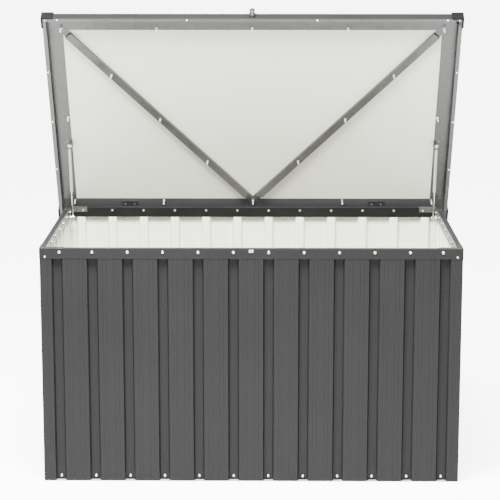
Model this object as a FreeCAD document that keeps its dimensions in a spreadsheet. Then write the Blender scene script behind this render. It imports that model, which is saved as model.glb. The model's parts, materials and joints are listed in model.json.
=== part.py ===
import FreeCAD, Part

import math
import os
import re
import Sketcher
from FreeCAD import Placement, Rotation, Vector

# Deck storage box of folded steel sheet: corrugated walls clamped between top rails and base
# rails, and a framed lid on two hinges, held open by two gas struts.
# Frame: origin at the centre of the base on the ground, X to the right, Y to the back, Z up.
# The lid stands open, as at rest. A wall is drawn as seen from outside, with its outer face at
# y = 0 and y pointing inwards. The lid is drawn closed, about the hinge axis.

doc = FreeCAD.newDocument("deck_storage_box")

DIMENSIONS = [
    # body
    ("body_width", 1320, "over the top rails, left to right"),
    ("body_depth", 770, "over the top rails, front to back"),
    ("body_height", 756, "ground to the top of the rails"),
    ("panel_sheet", 0.8, "thickness of wall, floor and lid skins"),
    ("groove_pitch", 110, "wanted spacing of the wall grooves"),
    ("groove_mouth", 34, "width of a groove at the outer face"),
    ("groove_floor", 26, "width of a groove at its bottom"),
    # rails and corners
    ("rail_sheet", 1, "thickness of rails, posts and braces"),
    ("rail_width", 18, "width of the top rail's web"),
    ("outer_flange", 33, "height of the top rail's outer flange"),
    ("inner_flange", 35, "height of the top rail's inner flange"),
    ("base_web", 28, "height of the base rail"),
    ("base_flange", 1.2, "thickness of the base rail's foot"),
    ("tray_edge", 25, "height of the floor tray's edge"),
    ("post_leg", 30, "leg of a corner post"),
    ("bracket_arm", 76, "arm of a top corner bracket"),
    ("bracket_drop", 18, "depth of a corner bracket's inner flange"),
    ("bracket_sheet", 1.2, "thickness of a corner bracket"),
    # fasteners
    ("bolt_radius", 2.5, "M5 shank"),
    ("bolt_head", 4.8, "radius of the M5 pan head"),
    ("head_height", 3, "height of the M5 pan head"),
    ("head_flat", 2.88, "radius of that head's flat top"),
    ("head_rim", 1.2, "height of that head's upright rim"),
    ("nut_flats", 8, "across flats of the M5 nut"),
    ("nut_height", 4, "height of the M5 nut"),
    ("thread_gap", 0.05, "nut bore beyond the shank"),
    ("hole_gap", 0.4, "clearance hole beyond a shank"),
    ("bolt_tail", 0.8, "rail and base bolts beyond their nuts"),
    ("lid_bolt_tail", 19, "lid frame bolts beyond the lowest nut"),
    ("brace_bolt_tail", 16, "brace bolts beyond their nuts"),
    ("screw_radius", 1.9, "shank of a sheet screw"),
    ("screw_head", 3.6, "radius of a sheet screw's head"),
    ("screw_height", 2.2, "height of a sheet screw's head"),
    ("screw_flat", 2.16, "radius of that head's flat top"),
    ("screw_rim", 0.66, "height of that head's upright rim"),
    ("screw_length", 8, "length of a sheet screw"),
    ("rivet_radius", 2, "shank of a blind rivet"),
    ("rivet_head", 3.5, "radius of a blind rivet's head"),
    ("rivet_height", 1, "height of a blind rivet's head"),
    ("rivet_flat", 2.45, "radius of that head's flat top"),
    ("rivet_tail", 2.8, "radius of the rivet's closed end"),
    ("cut_over", 1, "cutters beyond the faces they cut"),
    ("rail_bolt_drop", 12, "rail top to the rail bolts"),
    ("base_bolt_rise", 13.7, "ground to the base bolts"),
    ("corner_bolt_inset", 63, "corner to the bracket bolt"),
    ("corner_screw_drop", 26.5, "rail top to the corner screws"),
    ("corner_screw_inset", 18, "corner to a screw on front and rear"),
    ("side_screw_inset", 26, "corner to a screw on the sides"),
    # hinge
    ("hinge_standoff", 4, "rear face to the hinge axis"),
    ("hinge_drop", 14, "rail top down to the hinge axis"),
    ("hinge_inset", 225, "side face to the middle of a hinge"),
    ("leaf_width", 59, "width of a hinge leaf"),
    ("leaf_sheet", 1.5, "thickness of hinge leaves and strut brackets"),
    ("leaf_reach", 27, "lid leaf from the axis to its front edge"),
    ("leaf_drop", 18, "box leaf from the axis to its lower edge"),
    ("knuckle_radius", 3.7, "outside of a knuckle"),
    ("knuckle_share", 19.4, "length of the middle knuckle"),
    ("knuckle_gap", 0.3, "end play between knuckles"),
    ("pin_radius", 1.5, "hinge pin"),
    ("pin_gap", 0.05, "running clearance of pins, studs and rods"),
    ("rivet_spread", 32, "spacing of a leaf's two rivets"),
    ("lid_rivet_reach", 12, "axis to the rivets of the lid leaf"),
    ("box_rivet_drop", 11, "axis to the rivets of the box leaf"),
    ("open_angle", 62, "lid at rest, from closed"),
    # lid, closed, measured from the hinge axis
    ("side_overhang", 24, "body's side to the skin's side"),
    ("front_overhang", 22, "body's front to the skin's front"),
    ("rear_overhang", 32, "body's rear to the skin's rear"),
    ("lid_rise", 18, "axis to the underside of the frame's web"),
    ("skirt_depth", 30, "web to the bottom of the skirt"),
    ("skin_lip", 12, "inward lip of the skin"),
    ("lip_width", 13, "inward lip of the frame, from the skin's face"),
    ("lid_web", 62, "width of the front and side webs"),
    ("rear_web", 65, "width of the rear web"),
    ("cap_size", 40, "corner cap along each side"),
    ("cap_wall", 4, "corner cap's side walls"),
    ("cap_plate", 2.5, "corner cap's top and bottom"),
    ("cap_hook", 2, "corner cap's hold under the skin's lip"),
    ("lid_bolt_inset", 32, "body's side to the outer lid bolts"),
    ("front_bolt_inset", 54, "skin's front to the front lid bolts"),
    ("rear_bolt_gap", 8.5, "rear rail's inner face to the rear lid bolts"),
    ("lip_screw_inset", 6, "skin's face to the lip screws"),
    ("lip_screw_near", 212, "middle plane to the inner lip screws"),
    ("lip_screw_end", 49, "skin's side to the outer lip screws"),
    ("lip_screw_corner", 10, "skin's side to the corner lip screws"),
    ("side_screw_start", 9, "skin's front that the side screws are spaced from"),
    ("lip_screw_step", 200, "spacing of the side lip screws"),
    ("brace_width", 25, "web of a brace"),
    ("brace_flange", 10, "height of a brace's flanges"),
    ("brace_flat", 34, "flattened end of a brace, from its bolt"),
    # gas struts
    ("strut_inset", 30, "body's side to a strut's axis"),
    ("stud_back", 55, "rear face to the lower stud"),
    ("stud_drop", 30, "rail top to the lower stud"),
    ("lid_stud_reach", 277, "hinge axis to the upper stud"),
    ("lid_stud_drop", 20, "web to the upper stud"),
    ("eye_radius", 6, "outside of a strut's end eyes"),
    ("eye_width", 8, "width of a strut's end eyes"),
    ("stud_radius", 3, "shank of a strut stud"),
    ("stud_flange", 4.8, "collar and head of a strut stud"),
    ("stud_cap", 1.5, "thickness of a stud's head"),
    ("piston_rod", 2.5, "radius of the piston rod"),
    ("tube_radius", 5, "outside of the strut's tube"),
    ("tube_wall", 1, "wall of the strut's tube"),
    ("tube_length", 160, "length of the strut's tube"),
    ("tube_guide", 6, "length of the rod guide"),
    ("piston_length", 6, "length of the piston"),
    ("rod_inside", 20, "rod inside the tube with the lid open"),
    ("strut_plate", 34, "width of a strut's lower bracket"),
    ("strut_plate_top", 19.5, "rail top to the lower bracket"),
    ("strut_plate_drop", 50, "rail top to the lower bracket's end"),
    ("strut_screw_drop", 28, "rail top to the lower bracket's screws"),
    ("strut_screw_spread", 22, "spacing of those screws"),
    ("lid_bracket_gap", 10, "strut's axis to the upper bracket's plate"),
    ("lid_bracket_width", 30, "width of the upper bracket"),
    ("lid_bracket_rivets", 18, "spacing of its two rivets"),
    ("bracket_rivet_side", 18, "upper bracket's plate to its rivets"),
    ("lid_bracket_drop", 28, "web to the end of the upper bracket's plate"),
    ("strut_side_gap", 0.3, "upper stud to its bracket's plate"),
    # push lock
    ("lock_drop", 12, "web to the lock's axis"),
    ("collar_radius", 11, "collar of the lock's housing"),
    ("collar_length", 8, "thickness of that collar"),
    ("barrel_radius", 9.2, "housing through the skirt"),
    ("barrel_length", 16, "housing behind the skin's face"),
    ("fit_gap", 0.3, "parts let into sheet"),
    ("knob_radius", 8.8, "head of the lock's knob"),
    ("knob_disc", 3, "thickness of that head"),
    ("knob_neck", 8, "radius of the knob's body"),
    ("knob_reach", 13, "collar to the back of the head"),
    ("lock_end", 3, "end wall of the housing"),
    ("lock_bolt", 2.75, "radius of the lock's bolt"),
    ("strike_width", 14, "strike plate, left to right"),
    ("strike_height", 9, "strike plate, top to bottom"),
    ("strike_sheet", 1.5, "thickness of the strike plate"),
    ("strike_bore", 3.25, "radius of the hole for the lock's bolt"),
    ("strike_neck", 4, "radius of its neck through the rail"),
]

sheet = doc.addObject("Spreadsheet::Sheet", "dims")
for line, (alias, number, meaning) in enumerate(DIMENSIONS, start=1):
    sheet.set(f"A{line}", meaning)
    sheet.set(f"B{line}", str(number))
    sheet.setAlias(f"B{line}", alias)
doc.recompute()

# Lengths that several pieces share, as formulas of the sheet's cells.
PANEL_BACK = "(rail_sheet + panel_sheet)"
RAIL_INSIDE = "(rail_width - rail_sheet)"
LID_TOP = "(lid_rise + rail_sheet + panel_sheet)"
LID_HALF = "(body_width / 2 + side_overhang)"
LID_FRONT = "(hinge_standoff + body_depth + front_overhang)"
LID_REAR = "(rear_overhang - hinge_standoff)"
FRONT_BOLTS = f"({LID_FRONT} - front_bolt_inset)"
REAR_BOLTS = "(hinge_standoff + rail_width + rear_bolt_gap)"
LID_BOLT_X = "(body_width / 2 - lid_bolt_inset)"
HINGE_X = "(body_width / 2 - hinge_inset)"
STRUT_X = "(body_width / 2 - strut_inset)"
LID_BRACKET_X = f"({STRUT_X} - lid_bracket_gap)"
RIVET_X = f"({LID_BRACKET_X} + bracket_rivet_side)"
LIP_BOTTOM = "(lid_rise - skirt_depth)"
HINGE_Y = "(body_depth / 2 + hinge_standoff)"
HINGE_Z = "(body_height - hinge_drop)"
LOCK_Z = "(lid_rise - lock_drop)"
STRIKE_Z = f"({HINGE_Z} + {LOCK_Z})"
BRACKET_TOP = "(body_height + bracket_sheet)"
RIVET_GRIP = "(leaf_sheet + rail_sheet + panel_sheet)"
RAIL_BOLT = "(rail_width + bracket_sheet + nut_height + bolt_tail)"
BASE_BOLT = "(2 * panel_sheet + rail_sheet + nut_height + bolt_tail)"
LID_BOLT = "(panel_sheet + 3 * rail_sheet + nut_height + lid_bolt_tail)"
BRACE_BOLT = "(panel_sheet + rail_sheet + brace_flange + nut_height + brace_bolt_tail)"

nodes = {}


def cell(alias):
    """The number in one of the sheet's cells."""
    return float(sheet.get(alias))


def bind(thing, prop, formula):
    """Tie a property to a formula of the sheet's cells, whose names all hold an underscore."""
    thing.setExpression(prop, re.sub(r"\b([a-z]+_[a-z_]+)\b", r"dims.\1", str(formula)))


def move(thing, x="0", y="0", z="0"):
    for axis, formula in (("x", x), ("y", y), ("z", z)):
        bind(thing, f"Placement.Base.{axis}", formula)
    return thing


def block(name, x, y, z):
    """A box from its low to its high formula along each axis."""
    box = doc.addObject("Part::Box", name)
    for prop, (low, high) in zip(("Length", "Width", "Height"), (x, y, z)):
        bind(box, prop, f"({high}) - ({low})")
    return move(box, x[0], y[0], z[0])


ALONG = {
    "x": Rotation(Vector(0, 1, 0), 90),
    "y": Rotation(Vector(1, 0, 0), -90),
    "z": Rotation(),
}


def rod(name, axis, radius, low, high, x="0", y="0", z="0"):
    """A cylinder along one axis, from its low to its high formula."""
    cylinder = doc.addObject("Part::Cylinder", name)
    bind(cylinder, "Radius", radius)
    bind(cylinder, "Height", f"({high}) - ({low})")
    cylinder.Placement = Placement(Vector(), ALONG[axis])
    start = {"x": x, "y": y, "z": z}
    start[axis] = low
    return move(cylinder, **start)


def hole(name, axis, radius, low, high, **place):
    """A cutter for a round hole through what lies between two formulas."""
    return rod(name, axis, radius, f"{low} - cut_over", f"{high} + cut_over", **place)


def fuse(name, pieces):
    union = doc.addObject("Part::MultiFuse", name)
    union.Shapes = pieces
    union.Refine = True
    return union


def cut(name, base, tools):
    result = doc.addObject("Part::Cut", name)
    result.Base = base
    result.Tool = tools[0] if len(tools) == 1 else fuse(name + "_tools", tools)
    return result


def group(name, pieces):
    """Separate solids kept as one object, which can then be placed again."""
    compound = doc.addObject("Part::Compound", name)
    compound.Links = pieces
    return compound


def node(label, shape):
    """Names a finished sub-part."""
    shape.Label = label
    nodes[label] = shape
    return shape


def mirrored(label, source, normal):
    copy = doc.addObject("Part::Mirroring", label)
    copy.Source = source
    copy.Normal = normal
    return node(label, copy)


WALLS = {
    "front": (0, "0", "-body_depth / 2", "body_width"),
    "rear": (180, "0", "body_depth / 2", "body_width"),
    "left": (-90, "-body_width / 2", "0", "body_depth"),
    "right": (90, "body_width / 2", "0", "body_depth"),
}


def on_wall(thing, side, z="0"):
    """Turns a piece drawn in a wall's own frame to its side of the box."""
    angle, x, y, length = WALLS[side]
    thing.Placement = Placement(Vector(), Rotation(Vector(0, 0, 1), angle))
    return move(thing, x, y, z)


def on_lid(thing):
    """Puts a piece drawn about the hinge axis of the closed lid onto the open lid."""
    thing.Placement = Placement(Vector(), Rotation(Vector(1, 0, 0), -cell("open_angle")))
    bind(thing, "Placement.Rotation.Angle", "-open_angle")
    return move(thing, "0", HINGE_Y, HINGE_Z)


def at_hinge(thing):
    return move(thing, "0", HINGE_Y, HINGE_Z)


# Sketched bodies ----------------------------------------------------------------------------


FIRST_GUESS = 10  # radius that a sketch's corners start on, before the constraints move them


def origin_plane(body, role):
    for feature in body.Origin.OriginFeatures:
        if feature.Role == role:
            return feature


def outline(body, role, corners):
    """A closed sketch of straight lines on an origin plane, each corner held by two formulas."""
    sketch = body.newObject("Sketcher::SketchObject", body.Name + "_outline")
    sketch.AttachmentSupport = [(origin_plane(body, role), "")]
    sketch.MapMode = "FlatFace"
    count = len(corners)
    start = [Vector(math.cos(turn), math.sin(turn), 0) * FIRST_GUESS
             for turn in (2 * math.pi * i / count for i in range(count))]
    for i in range(count):
        sketch.addGeometry(Part.LineSegment(start[i], start[(i + 1) % count]), False)
    for i, corner in enumerate(corners):
        sketch.addConstraint(Sketcher.Constraint("Coincident", (i - 1) % count, 2, i, 1))
        for kind, formula in zip(("DistanceX", "DistanceY"), corner):
            number = sketch.addConstraint(Sketcher.Constraint(kind, -1, 1, i, 1, 1.0))
            bind(sketch, f"Constraints[{number}]", formula)
    return sketch


def repeat(body, feature, count, pitch):
    """Repeats a body's feature along X, centred by the sketch's own first place."""
    pattern = body.newObject("PartDesign::LinearPattern", body.Name + "_row")
    pattern.Originals = [feature]
    pattern.Direction = (feature.Profile[0], ["H_Axis"])
    bind(pattern, "Occurrences", count)
    bind(pattern, "Length", f"(({count}) - 1) * ({pitch})")
    body.Tip = pattern
    return body


def turned_row(name, profile, count="1", pitch="0"):
    """A row of equal turned pieces along X, each turned about its own y axis."""
    body = doc.addObject("PartDesign::Body", name)
    sketch = outline(body, "XY_Plane", profile)
    turned = body.newObject("PartDesign::Revolution", name + "_turned")
    turned.Profile = sketch
    turned.ReferenceAxis = (sketch, ["V_Axis"])
    turned.Angle = 360
    body.Tip = turned
    if count == "1":
        return body
    repeat(body, turned, count, pitch)
    holder = group(name + "_held", [body])
    return move(holder, x=f"-(({count}) - 1) * ({pitch}) / 2")


def nut_row(name, start, count, pitch):
    """A row of hexagon nuts along X, each from y = start inwards."""
    body = doc.addObject("PartDesign::Body", name)
    reach = "nut_flats / 2 / cos(30)"
    corners = [(f"{reach} * cos({turn})", f"{reach} * sin({turn})") for turn in range(0, 360, 60)]
    sketch = outline(body, "XZ_Plane", corners)
    bore = sketch.addGeometry(Part.Circle(Vector(), Vector(0, 0, 1), 1), False)
    sketch.addConstraint(Sketcher.Constraint("Coincident", bore, 3, -1, 1))
    radius = sketch.addConstraint(Sketcher.Constraint("Radius", bore, 1.0))
    bind(sketch, f"Constraints[{radius}]", "bolt_radius + thread_gap")
    pad = body.newObject("PartDesign::Pad", name + "_pad")
    pad.Profile = sketch
    bind(pad, "Length", "nut_height")
    pad.Reversed = True
    body.Tip = pad
    if count != "1":
        repeat(body, pad, count, pitch)
    holder = group(name + "_held", [body])
    return move(holder, x=f"-(({count}) - 1) * ({pitch}) / 2", y=start)


def bolt(length, start="0"):
    """Half section of a pan-head bolt whose head sits on y = start."""
    return [("0", f"{start} - head_height"), ("head_flat", f"{start} - head_height"),
            ("bolt_head", f"{start} - head_rim"), ("bolt_head", start),
            ("bolt_radius", start), ("bolt_radius", f"{start} + {length}"),
            ("0", f"{start} + {length}")]


SCREW = [("0", "-screw_height"), ("screw_flat", "-screw_height"),
         ("screw_head", "-screw_rim"), ("screw_head", "0"), ("screw_radius", "0"),
         ("screw_radius", "screw_length - screw_radius"), ("0", "screw_length")]

RIVET = [("0", "-rivet_height"), ("rivet_flat", "-rivet_height"), ("rivet_head", "0"),
         ("rivet_radius", "0"), ("rivet_radius", RIVET_GRIP),
         ("rivet_tail", RIVET_GRIP), ("rivet_tail", f"{RIVET_GRIP} + rivet_height"),
         ("0", f"{RIVET_GRIP} + rivet_height")]


def drill(radius, low, high):
    """Half section of a cutter for a hole from y = low to y = high."""
    start, end = f"{low} - cut_over", f"{high} + cut_over"
    return [("0", start), (radius, start), (radius, end), ("0", end)]


# Walls --------------------------------------------------------------------------------------

BOLT_HOLE = "(bolt_radius + hole_gap)"
SCREW_HOLE = "(screw_radius + hole_gap)"
RIVET_HOLE = "(rivet_radius + hole_gap)"
RAIL_BOLT_Z = "body_height - rail_bolt_drop"
SCREW_Z = "body_height - corner_screw_drop"

rail_bolts = []
base_bolts = []
frame_nuts = []
screws = []


def wall(side):
    """One side: corrugated panel, inverted-U top rail, L base rail, and their fasteners."""
    length = WALLS[side][3]
    across = side in ("front", "rear")
    count = f"round({length} / groove_pitch)"
    pitch = f"({length} / {count})"
    screw_span = f"({length} - 2 * {'corner' if across else 'side'}_screw_inset)"
    bracket_span = f"({length} - 2 * corner_bolt_inset)"

    # Bolts lie at the grooves; the end grooves' rail bolts also hold the corner brackets.
    rows = {
        "rail": (f"({count} - 2)", pitch, RAIL_BOLT_Z),
        "bracket": ("2", bracket_span, RAIL_BOLT_Z),
        "base": (count, pitch, "base_bolt_rise"),
    }
    holes = {}
    for row, (number, spacing, height) in rows.items():
        name = f"{side}_{row}"
        cutter = drill(BOLT_HOLE, "0", "rail_width + panel_sheet")
        holes[row] = move(turned_row(f"{name}_hole", cutter, number, spacing),
                          x=f"-({number} - 1) * {spacing} / 2", z=height)
        if row == "base":
            shank = bolt(BASE_BOLT, f"({RAIL_INSIDE} - panel_sheet)")
            nut_start = "rail_width + panel_sheet"
        else:
            shank = bolt(RAIL_BOLT)
            nut_start = "rail_width + bracket_sheet" if row == "bracket" else "rail_width"
        bolts = group(f"{name}_bolts", [turned_row(f"{name}_bolt", shank, number, spacing)])
        nuts = group(f"{name}_nuts", [nut_row(f"{name}_nut", nut_start, number, spacing)])
        (base_bolts if row == "base" else rail_bolts).append(on_wall(bolts, side, height))
        frame_nuts.append(on_wall(nuts, side, height))
    corner_screws = group(f"{side}_screws", [turned_row(f"{side}_screw", SCREW, "2", screw_span)])
    screws.append(on_wall(corner_screws, side, SCREW_Z))
    holes["screw"] = move(turned_row(f"{side}_screw_hole",
                                     drill(SCREW_HOLE, "0", f"{PANEL_BACK} + rail_sheet"),
                                     "2", screw_span),
                          x=f"-{screw_span} / 2", z=SCREW_Z)
    for name, tool in extra_holes(side).items():
        holes[name] = tool

    # Panel: one groove and its two half flats, repeated along the wall and trimmed to length.
    body = doc.addObject("PartDesign::Body", f"{side}_sheet")
    first = f"-({count} - 1) * {pitch} / 2"
    deep = f"({RAIL_INSIDE} - panel_sheet)"
    run = "((groove_mouth - groove_floor) / 2)"
    slope = f"(sqrt(({deep} - rail_sheet)^2 + {run}^2))"
    shift = f"(panel_sheet * ({slope} - {run}) / ({deep} - rail_sheet))"
    outside = [(f"-{pitch} / 2", "rail_sheet"), ("-groove_mouth / 2", "rail_sheet"),
               ("-groove_floor / 2", deep), ("groove_floor / 2", deep),
               ("groove_mouth / 2", "rail_sheet"), (f"{pitch} / 2", "rail_sheet")]
    inside = [(f"{pitch} / 2", PANEL_BACK), (f"groove_mouth / 2 + {shift}", PANEL_BACK),
              (f"groove_floor / 2 + {shift}", RAIL_INSIDE),
              (f"-groove_floor / 2 - {shift}", RAIL_INSIDE),
              (f"-groove_mouth / 2 - {shift}", PANEL_BACK), (f"-{pitch} / 2", PANEL_BACK)]
    sketch = outline(body, "XY_Plane", [(f"{first} + ({x})", y) for x, y in outside + inside])
    pad = body.newObject("PartDesign::Pad", f"{side}_sheet_pad")
    pad.Profile = sketch
    bind(pad, "Length", "body_height - rail_sheet - base_flange")
    repeat(body, pad, count, pitch)
    lifted = move(group(f"{side}_sheet_lifted", [body]), z="base_flange")
    end = f"({length} / 2 - {'rail_sheet' if across else PANEL_BACK})"
    trim = block(f"{side}_trim", (f"-{end}", end), ("0", "rail_width"), ("0", "body_height"))
    trimmed = doc.addObject("Part::Common", f"{side}_trimmed")
    trimmed.Base = lifted
    trimmed.Tool = trim
    panel = cut(f"{side}_panel_cut", trimmed, list(holes.values()))
    node(f"{side}_panel", on_wall(panel, side))

    # Top rail: a web and two flanges. The side rails butt between front and rear.
    end = f"({length} / 2)" if across else f"({length} / 2 - rail_width)"
    short = f"({length} / 2 - rail_width)"
    top = "body_height"
    web = block(f"{side}_web", (f"-{end}", end), ("0", "rail_width"), (f"{top} - rail_sheet", top))
    outer = block(f"{side}_outer", (f"-{end}", end), ("0", "rail_sheet"),
                  (f"{top} - outer_flange", top))
    inner = block(f"{side}_inner", (f"-{short}", short), (RAIL_INSIDE, "rail_width"),
                  (f"{top} - inner_flange", top))
    rail = fuse(f"{side}_rail_fused", [web, outer, inner])
    tools = [tool for name, tool in holes.items() if name != "base"]
    node(f"{side}_top_rail", on_wall(cut(f"{side}_rail_cut", rail, tools), side))

    # Base rail: an upright web behind the panel, and a foot under the panel's edge.
    end = f"({length} / 2 - {'rail_sheet' if across else 'rail_width'})"
    web_end = f"({length} / 2 - {RAIL_INSIDE if across else 'rail_width'})"
    foot = block(f"{side}_foot", (f"-{end}", end), ("rail_sheet", "rail_width"),
                 ("0", "base_flange"))
    upright = block(f"{side}_upright", (f"-{web_end}", web_end), (RAIL_INSIDE, "rail_width"),
                    ("0", "base_web"))
    base = fuse(f"{side}_base_fused", [foot, upright])
    node(f"{side}_base_rail", on_wall(cut(f"{side}_base_cut", base, [holes["base"]]), side))
    return holes["base"]


def extra_holes(side):
    """Holes that only one wall has: the strike's, the hinges' and the strut brackets'."""
    if side == "front":
        return {"strike": hole("strike_hole", "y", "strike_neck + fit_gap", "0", PANEL_BACK,
                               z=STRIKE_Z)}
    if side == "rear":
        holes = {}
        for hinge, sign in (("left", "1"), ("right", "-1")):
            row = turned_row(f"{hinge}_leaf_hole", drill(RIVET_HOLE, "0", PANEL_BACK),
                             "2", "rivet_spread")
            holes[hinge] = move(row, x=f"{sign} * {HINGE_X} - rivet_spread / 2",
                                z=f"{HINGE_Z} - box_rivet_drop")
        return holes
    sign = "1" if side == "right" else "-1"
    row = turned_row(f"{side}_strut_hole",
                     drill(SCREW_HOLE, f"{RAIL_INSIDE} - panel_sheet", "rail_width"),
                     "2", "strut_screw_spread")
    return {"strut": move(row, x=f"{sign} * (body_depth / 2 - stud_back) - strut_screw_spread / 2",
                          z="body_height - strut_screw_drop")}


base_holes = {side: wall(side) for side in WALLS}

# Floor ---------------------------------------------------------------------------------------

tray_x = "(body_width / 2 - rail_width)"
tray_y = "(body_depth / 2 - rail_width)"
tray_outside = block("tray_outside", (f"-{tray_x}", tray_x), (f"-{tray_y}", tray_y),
                     ("0", "tray_edge"))
tray_inside = block("tray_inside", (f"-{tray_x} + panel_sheet", f"{tray_x} - panel_sheet"),
                    (f"-{tray_y} + panel_sheet", f"{tray_y} - panel_sheet"),
                    ("panel_sheet", "tray_edge + cut_over"))
tray_holes = [on_wall(group(f"{side}_tray_hole", [hole]), side)
              for side, hole in base_holes.items()]
node("floor_tray", cut("tray_cut", tray_outside, [tray_inside] + tray_holes))

# Corner posts and top corner brackets, drawn for the front right corner ------------------------

post_x = f"(body_width / 2 - {PANEL_BACK})"
post_y = f"(-body_depth / 2 + {PANEL_BACK})"
post_z = ("base_flange", "body_height - rail_sheet")
post = fuse("post_fused", [
    block("post_front_leg", (f"{post_x} - post_leg", post_x),
          (post_y, f"{post_y} + rail_sheet"), post_z),
    block("post_side_leg", (f"{post_x} - rail_sheet", post_x),
          (post_y, f"{post_y} + post_leg"), post_z)])
post_holes = [
    hole("post_front_hole", "y", SCREW_HOLE, post_y, f"{post_y} + rail_sheet",
        x="body_width / 2 - corner_screw_inset", z=SCREW_Z),
    hole("post_side_hole", "x", SCREW_HOLE, f"{post_x} - rail_sheet", post_x,
        y="-body_depth / 2 + side_screw_inset", z=SCREW_Z)]
front_right_post = node("front_right_post", cut("post_cut", post, post_holes))

corner_x = "(body_width / 2)"
corner_y = "(-body_depth / 2)"
inner_x = "(body_width / 2 - rail_width)"
inner_y = "(-body_depth / 2 + rail_width)"
plate_z = ("body_height", BRACKET_TOP)
flange_z = ("body_height - bracket_drop", BRACKET_TOP)
bracket = fuse("bracket_fused", [
    block("bracket_front_plate", (f"{corner_x} - bracket_arm", corner_x),
          (corner_y, inner_y), plate_z),
    block("bracket_side_plate", (inner_x, corner_x), (corner_y, f"{corner_y} + bracket_arm"),
          plate_z),
    block("bracket_front_flange", (f"{corner_x} - bracket_arm", inner_x),
          (inner_y, f"{inner_y} + bracket_sheet"), flange_z),
    block("bracket_side_flange", (f"{inner_x} - bracket_sheet", inner_x),
          (inner_y, f"{corner_y} + bracket_arm"), flange_z)])
bracket_holes = [
    hole("bracket_front_hole", "y", BOLT_HOLE, inner_y, f"{inner_y} + bracket_sheet",
        x=f"{corner_x} - corner_bolt_inset", z=RAIL_BOLT_Z),
    hole("bracket_side_hole", "x", BOLT_HOLE, f"{inner_x} - bracket_sheet", inner_x,
        y=f"{corner_y} + corner_bolt_inset", z=RAIL_BOLT_Z)]
front_right_bracket = node("front_right_bracket", cut("bracket_cut", bracket, bracket_holes))

TO_LEFT = Vector(1, 0, 0)
TO_REAR = Vector(0, 1, 0)
for part, source in (("post", front_right_post), ("bracket", front_right_bracket)):
    mirrored(f"front_left_{part}", source, TO_LEFT)
    rear = mirrored(f"rear_right_{part}", source, TO_REAR)
    mirrored(f"rear_left_{part}", rear, TO_LEFT)

# Strike plate on the front rail ----------------------------------------------------------------

strike = fuse("strike_fused", [
    block("strike_face", ("-strike_width / 2", "strike_width / 2"), ("-strike_sheet", "0"),
          (f"{STRIKE_Z} - strike_height / 2", f"{STRIKE_Z} + strike_height / 2")),
    rod("strike_collar", "y", "strike_neck", "-strike_sheet", PANEL_BACK, z=STRIKE_Z)])
strike_opening = hole("strike_opening", "y", "strike_bore", "-strike_sheet",
                     PANEL_BACK, z=STRIKE_Z)
node("strike_plate", on_wall(cut("strike_cut", strike, [strike_opening]), "front"))

# Hinges, drawn about the axis for the right side -----------------------------------------------

leaf_low = f"({HINGE_X} - leaf_width / 2)"
leaf_high = f"({HINGE_X} + leaf_width / 2)"
middle_low = f"({HINGE_X} - knuckle_share / 2)"
middle_high = f"({HINGE_X} + knuckle_share / 2)"
PIN_BORE = "(pin_radius + pin_gap)"
LEAF_CLEAR = "(knuckle_radius + hole_gap)"


def leaf_holes(name, axis, low, high, **place):
    """The two rivet holes of a leaf, drilled along y or z at the place given."""
    return [hole(f"{name}_{end}", axis, RIVET_HOLE, low, high,
                 x=f"{HINGE_X} {sign} rivet_spread / 2", **place)
            for end, sign in (("near", "-"), ("far", "+"))]


back = "-hinge_standoff"
box_leaf = fuse("box_leaf_fused", [
    block("box_leaf_plate", (leaf_low, leaf_high), (back, f"{back} + leaf_sheet"),
          ("-leaf_drop", f"-{LEAF_CLEAR}")),
    block("box_leaf_near", (leaf_low, f"{middle_low} - knuckle_gap"),
          (back, f"{back} + leaf_sheet"), (f"-{LEAF_CLEAR}", "0")),
    block("box_leaf_far", (f"{middle_high} + knuckle_gap", leaf_high),
          (back, f"{back} + leaf_sheet"), (f"-{LEAF_CLEAR}", "0")),
    rod("box_knuckle_near", "x", "knuckle_radius", leaf_low, f"{middle_low} - knuckle_gap"),
    rod("box_knuckle_far", "x", "knuckle_radius", f"{middle_high} + knuckle_gap", leaf_high)])
box_leaf_tools = [hole("box_leaf_bore", "x", PIN_BORE, leaf_low, leaf_high)]
box_leaf_tools += leaf_holes("box_leaf_hole", "y", back, f"{back} + leaf_sheet",
                             z="-box_rivet_drop")
right_box_leaf = node("right_hinge_box_leaf",
                      at_hinge(cut("box_leaf_cut", box_leaf, box_leaf_tools)))
mirrored("left_hinge_box_leaf", right_box_leaf, TO_LEFT)

strap = "(-knuckle_radius)"
lid_leaf = fuse("lid_leaf_fused", [
    block("lid_leaf_plate", (leaf_low, leaf_high), ("-leaf_reach", f"{strap} + leaf_sheet"),
          ("lid_rise - leaf_sheet", "lid_rise")),
    block("lid_leaf_rise", (leaf_low, leaf_high), (strap, f"{strap} + leaf_sheet"),
          (LEAF_CLEAR, "lid_rise")),
    block("lid_leaf_link", (middle_low, middle_high), (strap, f"{strap} + leaf_sheet"),
          ("0", LEAF_CLEAR)),
    rod("lid_knuckle", "x", "knuckle_radius", middle_low, middle_high)])
lid_leaf_tools = [hole("lid_leaf_bore", "x", PIN_BORE, leaf_low, leaf_high)]
lid_leaf_tools += leaf_holes("lid_leaf_hole", "z", "lid_rise - leaf_sheet", "lid_rise",
                             y="-lid_rivet_reach")
right_lid_leaf = node("right_hinge_lid_leaf",
                      on_lid(cut("lid_leaf_cut", lid_leaf, lid_leaf_tools)))
mirrored("left_hinge_lid_leaf", right_lid_leaf, TO_LEFT)

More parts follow.
